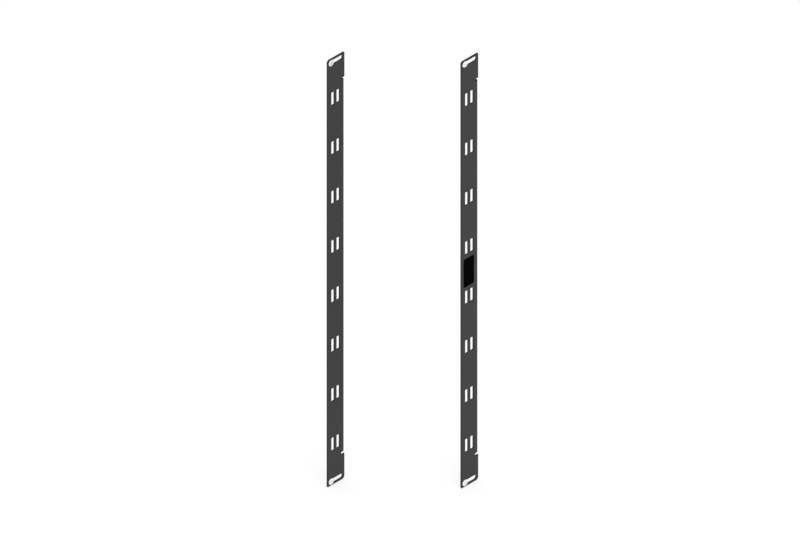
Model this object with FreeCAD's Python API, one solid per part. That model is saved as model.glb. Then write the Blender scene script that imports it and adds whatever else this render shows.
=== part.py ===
"""A pair of cable lashing brackets for a server rack.

Each bracket is one strip of folded sheet steel: a flat web pierced by pairs of strap slots, a stiffening
flange folded back along its right edge, and a flat tab at each end with a slot for its frame screw.
The screw sits at the left end of its slot, kept there by a thin nylon retainer behind the web.
The right bracket carries a plain identification label.

Frame, in millimetres: +Z up, the fronts of the brackets face -Y. The origin is midway between the two
screws of the left bracket, in the plane where their threads start, just behind its web.
"""

import FreeCAD
import Part

import math
import os

from FreeCAD import Vector

# Sheet steel strip. The first corner radius is at the top left and bottom right, the second at the other two.
BRACKET_LENGTH = 864.0
BRACKET_WIDTH = 40.0
SHEET = 2.0
TAB_HEIGHT = 50.5
TAB_ROUND_CORNER = 5.0
TAB_CLIPPED_CORNER = 2.0

# Flange folded back along the right edge, between the two tabs
FLANGE_DEPTH = 10.0
FLANGE_END_LEVEL = 0.5
BEND_RADIUS = 1.5

# Relief notch at each end of the fold
RELIEF_HEIGHT = 5.0
RELIEF_DEPTH = 7.5
RELIEF_TIP_FLAT = 0.1

# Pairs of slots for hook-and-loop straps
STRAP_PAIRS = 8
STRAP_PITCH = 100.0
STRAP_SLOT_LENGTH = 26.0
STRAP_SLOT_WIDTH = 6.5
STRAP_SLOT_SPACING = 12.2
STRAP_PAIR_INSET = 18.9

# Slot for the frame screw in each tab
SCREW_SLOT_LENGTH = 30.0
SCREW_SLOT_WIDTH = 8.0
SCREW_SLOT_INSET = 8.0

# Captive frame screw, with a low head, a cross recess and a waist between head and thread
SCREW_DIAMETER = 6.0
SCREW_LENGTH = 7.0
SCREW_TIP_CHAMFER = 0.6
WAIST_DIAMETER = 4.8
WAIST_SPARE = 0.3
HEAD_DIAMETER = 12.0
HEAD_HEIGHT = 1.0
HEAD_RIM = 0.4
HEAD_CROWN_DIAMETER = 8.0
HEAD_CLEARANCE = 0.1
RECESS_SPAN = 5.8
RECESS_FLOOR_SPAN = 2.6
RECESS_WIDTH = 1.3
RECESS_DEPTH = 0.8
RECESS_TURN = 45.0

# Nylon retainer around the waist, which the thread can't pass
RETAINER_DIAMETER = 12.0
RETAINER_THICKNESS = 0.8
RETAINER_RUNNING_GAP = 0.05
RETAINER_CLEARANCE = 0.1

# Identification label on the right bracket
LABEL_WIDTH = 24.0
LABEL_HEIGHT = 56.5
LABEL_THICKNESS = 0.4
LABEL_CORNER_RADIUS = 1.5
LABEL_LEFT_MARGIN = 5.65

# Where the right bracket stands, seen from the left one
PAIR_OFFSET_RIGHT = 154.0
PAIR_OFFSET_FORWARD = 159.0

# Places that follow from the sizes above. X counts from the screw at rest, at the left end of its slot.
SCREW_SLOT_LEFT_MARGIN = (BRACKET_WIDTH - SCREW_SLOT_LENGTH) / 2
LEFT_EDGE = -(SCREW_SLOT_LEFT_MARGIN + SCREW_SLOT_WIDTH / 2)
RIGHT_EDGE = LEFT_EDGE + BRACKET_WIDTH
TAB_CENTRE = LEFT_EDGE + BRACKET_WIDTH / 2
STRAP_PAIR_CENTRE = LEFT_EDGE + STRAP_PAIR_INSET
BEND_LINE = RIGHT_EDGE - SHEET - BEND_RADIUS
HALF_LENGTH = BRACKET_LENGTH / 2
RELIEF_OUTER = HALF_LENGTH - TAB_HEIGHT
FLANGE_END = RELIEF_OUTER - RELIEF_HEIGHT
SCREW_LEVEL = HALF_LENGTH - SCREW_SLOT_INSET
THREAD_START = 0.0
BACK_FACE = THREAD_START - WAIST_SPARE - RETAINER_THICKNESS - RETAINER_CLEARANCE
FRONT_FACE = BACK_FACE - SHEET

RIGHT_BRACKET_PLACE = Vector(PAIR_OFFSET_RIGHT, -PAIR_OFFSET_FORWARD, 0)
BACKWARD = Vector(0, 1, 0)
UP = Vector(0, 0, 1)


def rounded_wire(corners, depth):
    """A closed outline in the XZ plane at y = depth, from (x, z, radius) corners with tangent arcs."""
    points = [Vector(x, depth, z) for x, z, _ in corners]
    edges = []
    starts = []
    ends = []
    for i, (_, _, radius) in enumerate(corners):
        corner = points[i]
        towards_previous = (points[i - 1] - corner).normalize()
        towards_next = (points[(i + 1) % len(points)] - corner).normalize()
        half_turn = towards_previous.getAngle(towards_next) / 2
        setback = radius / math.tan(half_turn)
        start = corner + towards_previous * setback
        end = corner + towards_next * setback
        if radius > 0:
            bisector = (towards_previous + towards_next).normalize()
            middle = corner + bisector * (radius / math.sin(half_turn) - radius)
            edges.append((i, Part.Arc(start, middle, end).toShape()))
        starts.append(start)
        ends.append(end)
    for i, end in enumerate(ends):
        following = starts[(i + 1) % len(starts)]
        if end.distanceToPoint(following) > 1e-6:
            edges.append((i + 0.5, Part.LineSegment(end, following).toShape()))
    edges.sort(key=lambda pair: pair[0])
    return Part.Wire([edge for _, edge in edges])


def slot_outline(centre_x, centre_z, width, height, corner_radius):
    """The outline of a slot in the front face of the web. A corner radius of 0 leaves it square."""
    left, right = centre_x - width / 2, centre_x + width / 2
    low, high = centre_z - height / 2, centre_z + height / 2
    corners = [(left, low), (right, low), (right, high), (left, high)]
    return rounded_wire([(x, z, corner_radius) for x, z in corners], FRONT_FACE)


def web_outline():
    """The web and both tabs before folding: a long strip, with a round-ended relief at each end of the fold."""
    relief_tip = RIGHT_EDGE - RELIEF_DEPTH
    relief_radius = (RELIEF_HEIGHT - RELIEF_TIP_FLAT) / 2
    return rounded_wire([
        (LEFT_EDGE, -HALF_LENGTH, TAB_CLIPPED_CORNER),
        (RIGHT_EDGE, -HALF_LENGTH, TAB_ROUND_CORNER),
        (RIGHT_EDGE, -RELIEF_OUTER, 0),
        (relief_tip, -RELIEF_OUTER, relief_radius),
        (relief_tip, -FLANGE_END, relief_radius),
        (BEND_LINE, -FLANGE_END, 0),
        (BEND_LINE, FLANGE_END, 0),
        (relief_tip, FLANGE_END, relief_radius),
        (relief_tip, RELIEF_OUTER, relief_radius),
        (RIGHT_EDGE, RELIEF_OUTER, 0),
        (RIGHT_EDGE, HALF_LENGTH, TAB_CLIPPED_CORNER),
        (LEFT_EDGE, HALF_LENGTH, TAB_ROUND_CORNER),
    ], FRONT_FACE)


def strap_slots():
    """Two upright slots side by side at each level."""
    outlines = []
    for level in range(STRAP_PAIRS):
        height = (level - (STRAP_PAIRS - 1) / 2) * STRAP_PITCH
        for side in (-1, 1):
            across = STRAP_PAIR_CENTRE + side * STRAP_SLOT_SPACING / 2
            outlines.append(slot_outline(across, height, STRAP_SLOT_WIDTH, STRAP_SLOT_LENGTH, 0))
    return outlines


def screw_slots():
    """One level slot in each tab, with half-round ends."""
    return [
        slot_outline(TAB_CENTRE, end * SCREW_LEVEL, SCREW_SLOT_LENGTH, SCREW_SLOT_WIDTH, SCREW_SLOT_WIDTH / 2)
        for end in (-1, 1)
    ]


def folded_flange():
    """The bend and the flange behind it: an angle section carried up the strip, its rear corners rounded."""
    bend_centre_x = BEND_LINE
    bend_centre_y = BACK_FACE + BEND_RADIUS
    outer_radius = BEND_RADIUS + SHEET
    flange_rear = FRONT_FACE + FLANGE_DEPTH
    slant = math.sqrt(0.5)

    def at(x, y):
        return Vector(x, y, -FLANGE_END)

    def on_bend(radius):
        return at(bend_centre_x + radius * slant, bend_centre_y - radius * slant)

    inner_face = bend_centre_x + BEND_RADIUS
    outer_face = bend_centre_x + outer_radius
    section = Part.Wire([
        Part.LineSegment(at(BEND_LINE, BACK_FACE), at(BEND_LINE, FRONT_FACE)).toShape(),
        Part.Arc(at(BEND_LINE, FRONT_FACE), on_bend(outer_radius), at(outer_face, bend_centre_y)).toShape(),
        Part.LineSegment(at(outer_face, bend_centre_y), at(outer_face, flange_rear)).toShape(),
        Part.LineSegment(at(outer_face, flange_rear), at(inner_face, flange_rear)).toShape(),
        Part.LineSegment(at(inner_face, flange_rear), at(inner_face, bend_centre_y)).toShape(),
        Part.Arc(at(inner_face, bend_centre_y), on_bend(BEND_RADIUS), at(BEND_LINE, BACK_FACE)).toShape(),
    ])
    flange = Part.Face(section).extrude(UP * (2 * FLANGE_END))
    rear_corners = [
        edge for edge in flange.Edges
        if abs(edge.BoundBox.XLength - SHEET) < 1e-6
        and edge.BoundBox.ZLength < 1e-6
        and abs(edge.BoundBox.YMin - flange_rear) < 1e-6
    ]
    corner_radius = flange_rear - bend_centre_y - FLANGE_END_LEVEL
    return flange.makeFillet(corner_radius, rear_corners)


def bracket():
    """One bracket: the pierced web fused with its folded flange."""
    blank = Part.Face(web_outline()).extrude(BACKWARD * SHEET)
    slots = [Part.Face(outline).extrude(BACKWARD * SHEET) for outline in strap_slots() + screw_slots()]
    return blank.cut(Part.makeCompound(slots)).fuse(folded_flange()).removeSplitter()


def recess_wing(head_top):
    """One wing of the cross recess: a plate with a tapering outline, sunk into the head."""
    half_top, half_floor = RECESS_SPAN / 2, RECESS_FLOOR_SPAN / 2
    above = head_top - RECESS_DEPTH
    floor = head_top + RECESS_DEPTH
    spread = half_top + (half_top - half_floor)
    outline = Part.makePolygon([
        Vector(-half_floor, floor, -RECESS_WIDTH / 2),
        Vector(half_floor, floor, -RECESS_WIDTH / 2),
        Vector(spread, above, -RECESS_WIDTH / 2),
        Vector(-spread, above, -RECESS_WIDTH / 2),
        Vector(-half_floor, floor, -RECESS_WIDTH / 2),
    ])
    return Part.Face(outline).extrude(UP * RECESS_WIDTH)


def screw():
    """A captive screw along Y, its head in front of the web: a turned profile with a cross recess."""
    seat = FRONT_FACE - HEAD_CLEARANCE
    head_top = seat - HEAD_HEIGHT
    rim = seat - HEAD_RIM
    tip = seat + SCREW_LENGTH
    head_radius = HEAD_DIAMETER / 2
    crown_radius = HEAD_CROWN_DIAMETER / 2
    waist_radius = WAIST_DIAMETER / 2
    thread_radius = SCREW_DIAMETER / 2
    profile = Part.makePolygon([
        Vector(0, head_top, 0),
        Vector(crown_radius, head_top, 0),
        Vector(head_radius, rim, 0),
        Vector(head_radius, seat, 0),
        Vector(waist_radius, seat, 0),
        Vector(waist_radius, THREAD_START, 0),
        Vector(thread_radius, THREAD_START, 0),
        Vector(thread_radius, tip - SCREW_TIP_CHAMFER, 0),
        Vector(thread_radius - SCREW_TIP_CHAMFER, tip, 0),
        Vector(0, tip, 0),
        Vector(0, head_top, 0),
    ])
    turned = Part.Face(profile).revolve(Vector(0, 0, 0), BACKWARD, 360)
    wing = recess_wing(head_top)
    crossing_wing = wing.copy()
    crossing_wing.rotate(Vector(0, 0, 0), BACKWARD, 90)
    recess = wing.fuse(crossing_wing)
    recess.rotate(Vector(0, 0, 0), BACKWARD, RECESS_TURN)
    return turned.cut(recess)


def retainer():
    """A thin nylon ring around the screw's waist, just behind the web."""
    front = BACK_FACE + RETAINER_CLEARANCE
    bore_radius = WAIST_DIAMETER / 2 + RETAINER_RUNNING_GAP
    centre = Vector(0, front, 0)
    ring = Part.makeCylinder(RETAINER_DIAMETER / 2, RETAINER_THICKNESS, centre, BACKWARD)
    return ring.cut(Part.makeCylinder(bore_radius, RETAINER_THICKNESS, centre, BACKWARD))


def label():
    """A thin plate with rounded corners, stuck to the front of the web between two levels of slots."""
    left = LEFT_EDGE + LABEL_LEFT_MARGIN
    right = left + LABEL_WIDTH
    high = LABEL_HEIGHT / 2
    outline = rounded_wire([
        (left, -high, LABEL_CORNER_RADIUS),
        (right, -high, LABEL_CORNER_RADIUS),
        (right, high, LABEL_CORNER_RADIUS),
        (left, high, LABEL_CORNER_RADIUS),
    ], FRONT_FACE)
    return Part.Face(outline).extrude(-BACKWARD * LABEL_THICKNESS)


def placed(shape, place):
    """A copy of a shape, moved by a vector."""
    moved = shape.copy()
    moved.translate(place)
    return moved


def save(name, shape):
    """Writes one piece to its own file, after a check that it is a single sound solid."""
    if not shape.isValid() or len(shape.Solids) != 1:
        raise ValueError(f"{name} is not one sound solid")
    shape.Solids[0].exportStep(f"parts/{name}.step")


os.makedirs("parts", exist_ok=True)

one_bracket = bracket()
one_screw = screw()
one_retainer = retainer()

for side_name, bracket_place in (("left", Vector(0, 0, 0)), ("right", RIGHT_BRACKET_PLACE)):
    save(f"{side_name}_bracket", placed(one_bracket, bracket_place))
    for end_name, end_level in (("top", SCREW_LEVEL), ("bottom", -SCREW_LEVEL)):
        screw_place = bracket_place + UP * end_level
        save(f"{side_name}_{end_name}_screw", placed(one_screw, screw_place))
        save(f"{side_name}_{end_name}_retainer", placed(one_retainer, screw_place))

save("label_plate", placed(label(), RIGHT_BRACKET_PLACE))

screw_travel = SCREW_SLOT_LENGTH - SCREW_SLOT_WIDTH
print("screw travel along its slot", screw_travel)
print("screw spacing", 2 * SCREW_LEVEL)
print("left edge", LEFT_EDGE)
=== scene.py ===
"""A pair of cable lashing brackets for a server rack: powder-coated steel, zinc screws and a plain label."""

import math

import bmesh
import bpy
import numpy as np
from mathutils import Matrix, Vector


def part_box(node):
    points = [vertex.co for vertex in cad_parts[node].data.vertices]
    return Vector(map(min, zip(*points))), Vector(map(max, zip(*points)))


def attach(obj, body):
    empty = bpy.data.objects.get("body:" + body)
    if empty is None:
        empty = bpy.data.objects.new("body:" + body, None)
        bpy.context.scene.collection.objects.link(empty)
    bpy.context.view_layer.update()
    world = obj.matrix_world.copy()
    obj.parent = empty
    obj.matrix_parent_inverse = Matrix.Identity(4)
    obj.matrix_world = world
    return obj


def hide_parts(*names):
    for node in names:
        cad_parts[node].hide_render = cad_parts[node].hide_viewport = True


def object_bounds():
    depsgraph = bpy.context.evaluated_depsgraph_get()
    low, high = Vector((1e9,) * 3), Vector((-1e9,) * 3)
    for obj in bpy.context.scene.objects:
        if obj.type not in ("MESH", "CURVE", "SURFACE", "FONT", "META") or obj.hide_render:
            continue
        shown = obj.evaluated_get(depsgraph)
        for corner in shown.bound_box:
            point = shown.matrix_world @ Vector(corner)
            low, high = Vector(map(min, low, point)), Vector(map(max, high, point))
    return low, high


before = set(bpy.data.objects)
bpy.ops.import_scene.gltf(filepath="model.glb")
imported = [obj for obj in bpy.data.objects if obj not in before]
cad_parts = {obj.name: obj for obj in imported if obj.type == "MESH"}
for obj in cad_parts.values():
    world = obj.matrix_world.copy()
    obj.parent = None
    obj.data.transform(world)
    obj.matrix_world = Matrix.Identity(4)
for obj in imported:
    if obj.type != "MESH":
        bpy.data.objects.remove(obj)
cad_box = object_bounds()
MM = 0.001

# Brackets
# Each is one strip of 2 mm mild steel, punched flat, folded once along its right edge and then coated with a
# fine-textured dark grey powder. The baked powder rounds over the cut edges and leaves a faint orange peel.
# The cut edges and the rounding are painted a darker, less glossy grey, as painted shade that outlines them.
COAT_GREY = (0.0176, 0.0176, 0.0177, 1.0)
COAT_GREY_PALER = (0.0320, 0.0320, 0.0322, 1.0)
COAT_GLOSS = 0.3
COAT_ROUGHNESS = 0.42
# The cut edges' greys and gloss, darker than the faces': painted shade that outlines the strips.
CUT_PAINTED_SHADE_GREY = (0.0060, 0.0060, 0.0060, 1.0)
CUT_PAINTED_SHADE_GREY_PALER = (0.0105, 0.0105, 0.0106, 1.0)
CUT_GLOSS = 0.1
PEEL_LUMPS = 700.0
PEEL_DEPTH = 0.02 * MM
GRIT_LUMPS = 2600.0
GRIT_DEPTH = 0.012 * MM
GRIT_CONTRAST = 2.2
GRIT_ROUGHNESS = 0.14
DRIFT_LUMPS = 9.0
DRIFT_SHARE = 0.3
DRIFT_ROUGHNESS = 0.06
WEB_REACH = 2.1 * MM
SIDEWAYS = 0.05
COATED_EDGE_ROUND = 0.18 * MM
EDGE_ROUND_STEPS = 2
CUT_PAINTED_SHADE_SLOT = 1
MERGE_DISTANCE = 0.001 * MM
FLAT_ANGLE = math.radians(0.5)
SHARP_ANGLE = math.radians(35)


class Field:
    """A value over a surface, held as one output socket. Arithmetic on it adds Math nodes."""

    def __init__(self, socket):
        self.socket = socket

    def node(self, kind, inputs, output=0, **settings):
        """Adds a node of any kind: its settings first, then the values or links of its sockets."""
        tree = self.socket.id_data
        made = tree.nodes.new(kind)
        for name, value in settings.items():
            setattr(made, name, value)
        for name, value in inputs.items():
            if isinstance(value, Field):
                tree.links.new(value.socket, made.inputs[name])
            else:
                made.inputs[name].default_value = value
        return Field(made.outputs[output])

    def calculate(self, operation, first, second):
        """One Math node."""
        return self.node("ShaderNodeMath", {0: first, 1: second}, operation=operation)

    def __add__(self, other):
        return self.calculate("ADD", self, other)

    def __radd__(self, other):
        return self.calculate("ADD", other, self)

    def __sub__(self, other):
        return self.calculate("SUBTRACT", self, other)

    def __rsub__(self, other):
        return self.calculate("SUBTRACT", other, self)

    def __mul__(self, other):
        return self.calculate("MULTIPLY", self, other)

    def __rmul__(self, other):
        return self.calculate("MULTIPLY", other, self)


def new_finish(name, constants):
    """A material with one Principled shader. Returns it, its shader and the Object coordinates as a Field."""
    material = bpy.data.materials.new(name)
    material.use_nodes = True
    nodes = material.node_tree.nodes
    shader = nodes["Principled BSDF"]
    for socket_name, value in constants.items():
        shader.inputs[socket_name].default_value = value
    place = nodes.new("ShaderNodeTexCoord")
    return material, shader, Field(place.outputs["Object"])


def connect(shader, fields):
    """Links Fields to a shader's sockets by their names."""
    for socket_name, field in fields.items():
        shader.id_data.links.new(field.socket, shader.inputs[socket_name])


def lumps(place, per_metre, detail=2.0):
    """Smooth noise from 0 to 1 with about that many lumps in a metre."""
    settings = {"Vector": place, "Scale": per_metre, "Detail": detail}
    return place.node("ShaderNodeTexNoise", settings, "Fac")


def between(share, low, high):
    """A colour between two, by a share from 0 to 1."""
    return share.node("ShaderNodeMix", {0: share, 6: low, 7: high}, 2, data_type="RGBA")


def relief(height, depth):
    """A surface normal bumped by a height in which 1 stands for a depth in metres."""
    return height.node("ShaderNodeBump", {"Height": height, "Distance": depth, "Strength": 1.0})


def powder_coat(name, grey, paler, gloss):
    """Baked powder between two greys: drifts over the strip, fine flecks, and peel and grit in the relief.

    The flecks are the grit spread out about its middle, 0.5.
    """
    finish, shader, place = new_finish(name, {"Specular IOR Level": gloss})
    peel = lumps(place, PEEL_LUMPS)
    grit = lumps(place, GRIT_LUMPS, detail=1.0)
    drift = lumps(place, DRIFT_LUMPS)
    fleck = (grit - 0.5) * GRIT_CONTRAST + 0.5
    connect(shader, {
        "Base Color": between(drift * DRIFT_SHARE + fleck * (1.0 - DRIFT_SHARE), grey, paler),
        "Roughness": COAT_ROUGHNESS + grit * GRIT_ROUGHNESS + drift * DRIFT_ROUGHNESS,
        "Normal": relief(peel + grit * (GRIT_DEPTH / PEEL_DEPTH), PEEL_DEPTH),
    })
    return finish


coat = powder_coat("powder_coat", COAT_GREY, COAT_GREY_PALER, COAT_GLOSS)
# The darker finish of the cut edges and their rounding: painted shade.
cut_painted_shade_coat = powder_coat("powder_coat_edge_painted_shade", CUT_PAINTED_SHADE_GREY, CUT_PAINTED_SHADE_GREY_PALER, CUT_GLOSS)


def cut_faces(mesh):
    """True for each face that is a cut edge of the sheet.

    The web's faces look along Y, so its cut edges don't. Behind the web is the flange, whose faces look along
    X, so its cut edges don't.
    """
    normal = np.array([face.normal for face in mesh.polygons])
    level = np.array([face.center.y for face in mesh.polygons])
    front = min(point.co.y for point in mesh.vertices)
    faced = np.where(level < front + WEB_REACH, normal[:, 1], normal[:, 0])
    return np.abs(faced) < SIDEWAYS


def softened(node_name, piece_name, finish, edge_painted_shade_finish, edge_round):
    """A merged copy of a solid, its edges rounded as the real piece's are, in place of the node.

    Triangles that lie in one plane are joined first, so that the rounding meets no slivers on the flats. The
    cut edges and the rounded strips take the second finish, a darker grey that is painted shade.
    """
    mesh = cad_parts[node_name].data.copy()
    mesh.name = piece_name
    shell = bmesh.new()
    shell.from_mesh(mesh)
    bmesh.ops.remove_doubles(shell, verts=shell.verts, dist=MERGE_DISTANCE)
    bmesh.ops.dissolve_limit(shell, angle_limit=FLAT_ANGLE, verts=shell.verts, edges=shell.edges)
    shell.to_mesh(mesh)
    shell.free()
    mesh.polygons.foreach_set("use_smooth", np.ones(len(mesh.polygons), dtype=bool))
    mesh.set_sharp_from_angle(angle=SHARP_ANGLE)
    mesh.materials.clear()
    mesh.materials.append(finish)
    mesh.materials.append(edge_painted_shade_finish)
    # The cut edges take the darker finish: painted shade.
    mesh.polygons.foreach_set("material_index", cut_faces(mesh).astype(np.int32))
    piece = bpy.data.objects.new(piece_name, mesh)
    bpy.context.collection.objects.link(piece)
    rounding = piece.modifiers.new("edge_round", "BEVEL")
    rounding.width = edge_round
    rounding.segments = EDGE_ROUND_STEPS
    rounding.limit_method = "ANGLE"
    rounding.angle_limit = SHARP_ANGLE
    rounding.harden_normals = True
    # The rounded strips take the darker finish too: painted shade.
    rounding.material = CUT_PAINTED_SHADE_SLOT
    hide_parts(node_name)
    return piece


for side in ("left", "right"):
    strip = softened(f"{side}_bracket", f"{side}_coated_bracket", coat, cut_painted_shade_coat, COATED_EDGE_ROUND)
    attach(strip, "brackets")

# Label
# A rectangle of matt black polyester film with rounded corners, stuck to the front of the right bracket by
# its own adhesive. It is left plain.
LABEL_BLACK = (0.0006, 0.0006, 0.0006, 1.0)
LABEL_SHEEN_BLACK = (0.0014, 0.0014, 0.0015, 1.0)
FILM_ROUGHNESS = 0.38
FILM_GLOSS = 0.004
FILM_GRAIN_LUMPS = 1800.0
FILM_GRAIN_DEPTH = 0.006 * MM
FILM_GRAIN_ROUGHNESS = 0.12
FILM_DRIFT_LUMPS = 60.0
FILM_DRIFT_ROUGHNESS = 0.08

film, film_shader, film_place = new_finish("black_film", {"Specular IOR Level": FILM_GLOSS})
film_grain = lumps(film_place, FILM_GRAIN_LUMPS)
film_drift = lumps(film_place, FILM_DRIFT_LUMPS)
connect(film_shader, {
    "Base Color": between(film_drift, LABEL_BLACK, LABEL_SHEEN_BLACK),
    "Roughness": FILM_ROUGHNESS + film_grain * FILM_GRAIN_ROUGHNESS + film_drift * FILM_DRIFT_ROUGHNESS,
    "Normal": relief(film_grain, FILM_GRAIN_DEPTH),
})
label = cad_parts["label_plate"]
label.data.materials.clear()
label.data.materials.append(film)

# Frame screws
# M6 captive screws of cold-headed steel, bright zinc plated: a low head with a rounded shoulder and a cross
# recess turned to 45 degrees, a plain waist that runs in the slot, and a short rolled thread behind the
# sheet. In the recess and along the thread's root the zinc is rougher and painted darker: painted shade.
ZINC = (0.92, 0.925, 0.935, 1.0)
ZINC_WARM = (0.94, 0.93, 0.91, 1.0)
# The zinc's colour in the recess and along the thread's root: painted shade in those hollows.
ZINC_PAINTED_SHADE = (0.64, 0.64, 0.65, 1.0)
ZINC_ROUGHNESS = 0.24
DULL_ROUGHNESS = 0.15
BLOOM_LUMPS = 420.0
BLOOM_ROUGHNESS = 0.12
SCRATCH_LUMPS = 3200.0
SCRATCH_DEPTH = 0.004 * MM
SCRATCH_ROUGHNESS = 0.06
HEAD_RADIUS = 6.0 * MM
HEAD_HEIGHT = 1.0 * MM
HEAD_RIM = 0.15 * MM
CROWN_RADIUS = 3.0 * MM
SHOULDER_ROWS = 15
RECESS_RADIUS = 2.9 * MM
RECESS_FLOOR_RADIUS = 1.3 * MM
RECESS_HALF_WIDTH = 0.65 * MM
RECESS_DEPTH = 0.8 * MM
RECESS_TURN = math.radians(45)
RECESS_WALL_LEAN = 0.06 * MM
RECESS_HUB_ROWS = 5
RECESS_FLOOR_ROWS = 4
RECESS_FLOOR_START = 1.02
RECESS_SLOPE_ROWS = 9
WING_COLUMNS = 4
OPEN_COLUMNS = 9
TURNED_EDGE = 0.06 * MM
RIM_TOP_SHARE = 0.8
WAIST_RADIUS = 2.4 * MM
WAIST_LEAD = 0.1 * MM
SHANK_LENGTH = 7.0 * MM
THREAD_START = 3.3 * MM
THREAD_PITCH = 1.0 * MM
THREAD_CREST = 3.0 * MM
THREAD_ROOT = 2.45 * MM
THREAD_ROOT_FLAT = 0.2
THREAD_FLANK = 0.65
THREAD_ROWS = 95
LEAD_IN_SLOPE = 1.2
TIP_CHAMFER = 0.6 * MM
TURNED_MERGE_DISTANCE = 0.0001 * MM
TURNED_SHARP_ANGLE = math.radians(38)
EIGHTH_TURN = math.pi / 4
QUARTER_TURN = math.pi / 2
FULL_TURN = 2 * math.pi


def grid_faces(rows, columns):
    """Quads of a grid that closes on itself across its columns, as an array of four corners each."""
    row, column = np.meshgrid(np.arange(rows - 1), np.arange(columns), indexing="ij")
    following = (column + 1) % columns
    corners = (row * columns + column, row * columns + following,
               (row + 1) * columns + following, (row + 1) * columns + column)
    return np.stack(corners, axis=-1).reshape(-1, 4)


def turned_piece(name, along, out, angle, finish, place, painted_hollow_shade=None):
    """A piece turned about Y: each row is a ring of points at out from the axis and along Y, at those angles.

    Its doubles are merged, which closes rows that meet, and its faces are pointed outwards. Where a share of
    painted shade is given, it is kept at each point as an attribute for the finish.
    """
    points = np.stack([out * np.cos(angle), along, out * np.sin(angle)], axis=-1)
    points = points + np.asarray(place)
    mesh = bpy.data.meshes.new(name)
    mesh.from_pydata(points.reshape(-1, 3).tolist(), [], grid_faces(*out.shape).tolist())
    if painted_hollow_shade is not None:
        mesh.attributes.new("painted_hollow_shade", "FLOAT", "POINT").data.foreach_set("value", painted_hollow_shade.ravel())
    shell = bmesh.new()
    shell.from_mesh(mesh)
    bmesh.ops.remove_doubles(shell, verts=shell.verts, dist=TURNED_MERGE_DISTANCE)
    bmesh.ops.recalc_face_normals(shell, faces=shell.faces)
    shell.to_mesh(mesh)
    shell.free()
    mesh.polygons.foreach_set("use_smooth", np.ones(len(mesh.polygons), dtype=bool))
    mesh.set_sharp_from_angle(angle=TURNED_SHARP_ANGLE)
    mesh.materials.append(finish)
    piece = bpy.data.objects.new(name, mesh)
    bpy.context.collection.objects.link(piece)
    return piece


def head_top():
    """The crown and its cross recess, from the axis out to the rim: rows by radius, columns by angle.

    Outside the flat crown the shoulder is a quarter of an ellipse, which meets the rim upright. Within a wing
    of the cross, which is where r times the sine of the angle from the wing's line is under half its width,
    the surface is sunk by the recess's depth, which runs out along a slope between the recess's floor and its
    rim. Columns follow the wings' sides. The fourth array is a point's depth in the recess, from 0 to 1.
    """
    corner = RECESS_HALF_WIDTH * math.sqrt(2)
    hub = np.linspace(0.0, corner, RECESS_HUB_ROWS)
    floor = np.linspace(corner * RECESS_FLOOR_START, RECESS_FLOOR_RADIUS, RECESS_FLOOR_ROWS)
    slope = np.linspace(RECESS_FLOOR_RADIUS, RECESS_RADIUS, RECESS_SLOPE_ROWS + 1)[1:]
    curve = np.sin(np.linspace(0.0, QUARTER_TURN, SHOULDER_ROWS + 1))
    outside = CROWN_RADIUS + (HEAD_RADIUS - CROWN_RADIUS) * curve
    radius = np.concatenate([hub, floor, slope, outside])[:, None]
    wing_share = np.linspace(0.0, 1.0, WING_COLUMNS)
    open_share = np.linspace(0.0, 1.0, OPEN_COLUMNS)
    reach = np.maximum(radius, corner)
    half_angle = np.arcsin(np.clip(RECESS_HALF_WIDTH / reach, 0.0, math.sin(EIGHTH_TURN)))
    wall_angle = half_angle + np.minimum(RECESS_WALL_LEAN / reach, EIGHTH_TURN - half_angle)
    wing_part = half_angle * wing_share
    open_part = wall_angle + (EIGHTH_TURN - wall_angle) * open_share
    half_wing = np.concatenate([wing_part, open_part], axis=1)
    sunk = np.concatenate([np.ones(WING_COLUMNS), np.zeros(OPEN_COLUMNS)])
    quarter = np.concatenate([half_wing, QUARTER_TURN - half_wing[:, -2:0:-1]], axis=1)
    quarter_sunk = np.concatenate([sunk, sunk[-2:0:-1]])
    angle = np.concatenate([quarter + wing * QUARTER_TURN for wing in range(4)], axis=1) + RECESS_TURN
    sunk = np.tile(quarter_sunk, 4)[None, :]
    sunk = np.where(radius <= corner, 1.0, sunk)
    run_out = (RECESS_RADIUS - radius) / (RECESS_RADIUS - RECESS_FLOOR_RADIUS)
    depth = RECESS_DEPTH * np.clip(run_out, 0.0, 1.0)
    shoulder = np.clip((radius - CROWN_RADIUS) / (HEAD_RADIUS - CROWN_RADIUS), 0.0, 1.0)
    drop = (HEAD_HEIGHT - HEAD_RIM) * (1.0 - np.sqrt(1.0 - shoulder ** 2))
    # Depth in the recess, 0 to 1, by which the zinc is painted darker: painted shade.
    painted_hollow_shade = sunk * depth / RECESS_DEPTH
    return drop + depth * sunk - HEAD_HEIGHT, np.broadcast_to(radius, angle.shape), angle, painted_hollow_shade


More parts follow.
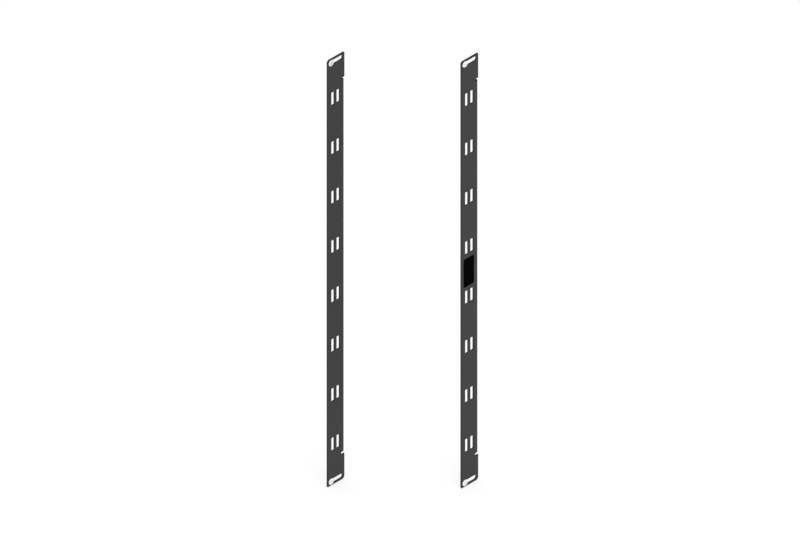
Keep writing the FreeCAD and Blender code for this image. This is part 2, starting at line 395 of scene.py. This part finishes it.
def shank_rows(columns):
    """The rim, the seat under the head, the waist and the threaded end: rows along Y, columns by angle.

    The thread is a helix: with the share y / pitch - angle / turn, modulo 1, the radius rises from root to
    crest as a triangle wave cut flat at both ends. It starts with a short cone, and the tip's chamfer cuts
    it. The fourth array is 1 along the thread's root and 0 on its crest and elsewhere.
    """
    turn = np.linspace(0.0, FULL_TURN, columns, endpoint=False)[None, :]
    rim_top = -HEAD_RIM * RIM_TOP_SHARE
    plain_along = np.array([rim_top, -TURNED_EDGE, 0.0, 0.0, WAIST_LEAD, THREAD_START])[:, None]
    plain_out = np.array([
        HEAD_RADIUS, HEAD_RADIUS, HEAD_RADIUS - TURNED_EDGE,
        WAIST_RADIUS + TURNED_EDGE, WAIST_RADIUS, WAIST_RADIUS])[:, None]
    along = np.linspace(THREAD_START, SHANK_LENGTH, THREAD_ROWS + 1)[1:, None]
    wave = np.abs((along / THREAD_PITCH - turn / FULL_TURN) % 1.0 - 0.5) * 2
    ridge = np.clip((wave - THREAD_ROOT_FLAT) / THREAD_FLANK, 0.0, 1.0)
    threaded = THREAD_ROOT + (THREAD_CREST - THREAD_ROOT) * ridge
    lead_in = WAIST_RADIUS + (along - THREAD_START) * LEAD_IN_SLOPE
    chamfer = THREAD_CREST - np.clip(along - (SHANK_LENGTH - TIP_CHAMFER), 0.0, None)
    threaded = np.minimum(threaded, np.minimum(lead_in, chamfer))
    ones = np.ones_like(turn)
    rows_along = np.concatenate([plain_along * ones, along * ones, np.full_like(turn, SHANK_LENGTH)])
    rows_out = np.concatenate([plain_out * ones, threaded, np.zeros_like(turn)])
    # 1 along the thread's root, where the zinc is painted darker: painted shade.
    root_painted_shade = np.where(along < SHANK_LENGTH - TIP_CHAMFER, 1.0 - ridge, 0.0)
    rows_painted_shade = np.concatenate([np.zeros_like(plain_out * ones), root_painted_shade, np.zeros_like(turn)])
    return rows_along, rows_out, np.broadcast_to(turn, rows_out.shape), rows_painted_shade


zinc, zinc_shader, zinc_place = new_finish("bright_zinc", {"Metallic": 1.0})
bloom = lumps(zinc_place, BLOOM_LUMPS)
fine_scratch = lumps(zinc_place, SCRATCH_LUMPS, detail=1.0)
# The share of painted shade at each point, which darkens the zinc in the recess and the thread's root.
painted_hollow_shade = zinc_place.node("ShaderNodeAttribute", {}, "Fac", attribute_name="painted_hollow_shade")
plated_roughness = ZINC_ROUGHNESS + bloom * BLOOM_ROUGHNESS + fine_scratch * SCRATCH_ROUGHNESS
connect(zinc_shader, {
    "Base Color": between(painted_hollow_shade, between(bloom, ZINC, ZINC_WARM), ZINC_PAINTED_SHADE),
    "Roughness": plated_roughness + painted_hollow_shade * DULL_ROUGHNESS,
    "Normal": relief(fine_scratch, SCRATCH_DEPTH),
})

top_along, top_out, top_angle, top_painted_shade = head_top()
low_along, low_out, low_angle, low_painted_shade = shank_rows(top_out.shape[1])
screw_along = np.concatenate([top_along, low_along])
screw_out = np.concatenate([top_out, low_out])
screw_angle = np.concatenate([top_angle, low_angle + RECESS_TURN])
screw_painted_shade = np.concatenate([top_painted_shade, low_painted_shade])

ENDS = [f"{side}_{end}" for side in ("left", "right") for end in ("top", "bottom")]


def screw_axis(node_name):
    """The middle of a node's box across its axis, and where its box starts and ends along Y."""
    low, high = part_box(node_name)
    return (low[0] + high[0]) / 2, (low[2] + high[2]) / 2, low[1], high[1]


for end in ENDS:
    across, level, front, _ = screw_axis(f"{end}_screw")
    seat = front + HEAD_HEIGHT
    screw = turned_piece(
        f"{end}_zinc_screw", screw_along, screw_out, screw_angle, zinc, (across, seat, level), screw_painted_shade)
    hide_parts(f"{end}_screw")
    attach(screw, f"{end}_turner")

# Retainers
# A punched ring of natural nylon sheet around each screw's waist, close behind the steel. It is pushed on
# over the thread, which can't pass back through it, so the screw can't fall out of its slot.
NYLON = (0.70, 0.69, 0.64, 1.0)
NYLON_CREAM = (0.62, 0.60, 0.53, 1.0)
NYLON_ROUGHNESS = 0.45
NYLON_GLOSS = 0.4
NYLON_CLOUD_LUMPS = 260.0
NYLON_GRAIN_LUMPS = 2400.0
NYLON_GRAIN_DEPTH = 0.008 * MM
NYLON_GRAIN_ROUGHNESS = 0.15
RING_RUNNING_GAP = 0.05 * MM
RING_EDGE_ROUND = 0.15 * MM
RING_EDGE_ROWS = 4
RING_COLUMNS = 96


def ring_rows(bore, rim, thickness, edge_round):
    """A flat ring's closed section as rows, with a quarter-round at each corner, by columns of angle."""
    arc = np.linspace(0.0, QUARTER_TURN, RING_EDGE_ROWS)
    inner, outer = bore + edge_round, rim - edge_round
    near, far = edge_round, thickness - edge_round
    out = np.concatenate([
        outer + edge_round * np.sin(arc), outer + edge_round * np.cos(arc),
        inner - edge_round * np.sin(arc), inner - edge_round * np.cos(arc)])
    along = np.concatenate([
        near - edge_round * np.cos(arc), far + edge_round * np.sin(arc),
        far + edge_round * np.cos(arc), near - edge_round * np.sin(arc)])
    out, along = np.append(out, out[0])[:, None], np.append(along, along[0])[:, None]
    angle = np.linspace(0.0, FULL_TURN, RING_COLUMNS, endpoint=False)[None, :]
    ones = np.ones_like(angle)
    return along * ones, out * ones, angle * np.ones_like(out)


nylon, nylon_shader, nylon_place = new_finish("natural_nylon", {"Specular IOR Level": NYLON_GLOSS})
nylon_cloud = lumps(nylon_place, NYLON_CLOUD_LUMPS)
nylon_grain = lumps(nylon_place, NYLON_GRAIN_LUMPS)
connect(nylon_shader, {
    "Base Color": between(nylon_cloud, NYLON, NYLON_CREAM),
    "Roughness": NYLON_ROUGHNESS + nylon_grain * NYLON_GRAIN_ROUGHNESS,
    "Normal": relief(nylon_grain, NYLON_GRAIN_DEPTH),
})
for end in ENDS:
    across, level, front, back = screw_axis(f"{end}_retainer")
    low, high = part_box(f"{end}_retainer")
    ring_along, ring_out, ring_angle = ring_rows(
        WAIST_RADIUS + RING_RUNNING_GAP, (high[0] - low[0]) / 2, back - front, RING_EDGE_ROUND)
    ring = turned_piece(
        f"{end}_nylon_ring", ring_along, ring_out, ring_angle, nylon, (across, front, level))
    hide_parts(f"{end}_retainer")
    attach(ring, f"{end}_slider")

# Studio
# A plain floor under the brackets' lower ends, an even white surround and one large soft lamp, with a camera
# that looks at equal angles to all three axes and has no perspective. The floor looks white to the camera and
# in reflections, but sends no light of its own to the brackets.
FLOOR_LEVEL = cad_box[0][2] - 0.5 * MM
FLOOR_HALF = 12.0
FLOOR_CORNERS = ((-1, -1), (1, -1), (1, 1), (-1, 1))
FLOOR_PALE = (0.8, 0.8, 0.8, 1.0)
FLOOR_SHADED = (0.42, 0.42, 0.42, 1.0)
FLOOR_NO_GLOW = (0.0, 0.0, 0.0, 1.0)
FLOOR_GLOW = (0.62, 0.62, 0.62, 1.0)
FLOOR_ROUGHNESS = 0.9
SEEING_RAYS = ("Camera", "Glossy", "Transmission")
SURROUND_STRENGTH = 0.9
LAMP_WIDTH = 2.4
LAMP_POWER = 26.0
LAMP_PLACE = (-1.2, -2.2, 2.2)
LAMP_TURN = (math.radians(50), 0.0, math.radians(-28))
AIM = np.array([83.87, -80.17, 5.03]) * MM
LOOK = np.array([1.0, 1.0, -1.0]) / math.sqrt(3.0)
CAMERA_TURN = (math.acos(1.0 / math.sqrt(3.0)), 0.0, math.radians(-45))
CAMERA_DISTANCE = 4.0
CAMERA_REACH = 40.0
VIEW_WIDTH = 1.3236

floor_finish, floor_shader, floor_place = new_finish("white_floor", {
    "Roughness": FLOOR_ROUGHNESS, "Specular IOR Level": 0.0, "Emission Strength": 1.0})
seen = sum(floor_place.node("ShaderNodeLightPath", {}, f"Is {ray} Ray") for ray in SEEING_RAYS)
connect(floor_shader, {
    "Base Color": between(seen, FLOOR_PALE, FLOOR_SHADED),
    "Emission Color": between(seen, FLOOR_NO_GLOW, FLOOR_GLOW),
})
floor_mesh = bpy.data.meshes.new("floor")
floor_points = [(x * FLOOR_HALF, y * FLOOR_HALF, FLOOR_LEVEL) for x, y in FLOOR_CORNERS]
floor_mesh.from_pydata(floor_points, [], [(0, 1, 2, 3)])
floor_mesh.materials.append(floor_finish)
floor = bpy.data.objects.new("floor", floor_mesh)
bpy.context.collection.objects.link(floor)

surround = bpy.data.worlds.new("white_surround")
surround.use_nodes = True
surround_light = surround.node_tree.nodes["Background"]
surround_light.inputs["Color"].default_value = (1.0, 1.0, 1.0, 1.0)
surround_light.inputs["Strength"].default_value = SURROUND_STRENGTH
bpy.context.scene.world = surround

lamp_data = bpy.data.lights.new("soft_lamp", "AREA")
lamp_data.shape = "DISK"
lamp_data.size = LAMP_WIDTH
lamp_data.energy = LAMP_POWER
lamp = bpy.data.objects.new("soft_lamp", lamp_data)
lamp.location = LAMP_PLACE
lamp.rotation_euler = LAMP_TURN
bpy.context.collection.objects.link(lamp)

camera_data = bpy.data.cameras.new("camera")
camera_data.type = "ORTHO"
camera_data.ortho_scale = VIEW_WIDTH
camera_data.clip_end = CAMERA_REACH
camera = bpy.data.objects.new("camera", camera_data)
camera.location = AIM - LOOK * CAMERA_DISTANCE
camera.rotation_euler = CAMERA_TURN
bpy.context.collection.objects.link(camera)
bpy.context.scene.camera = camera
bpy.context.scene.view_settings.view_transform = "Standard"
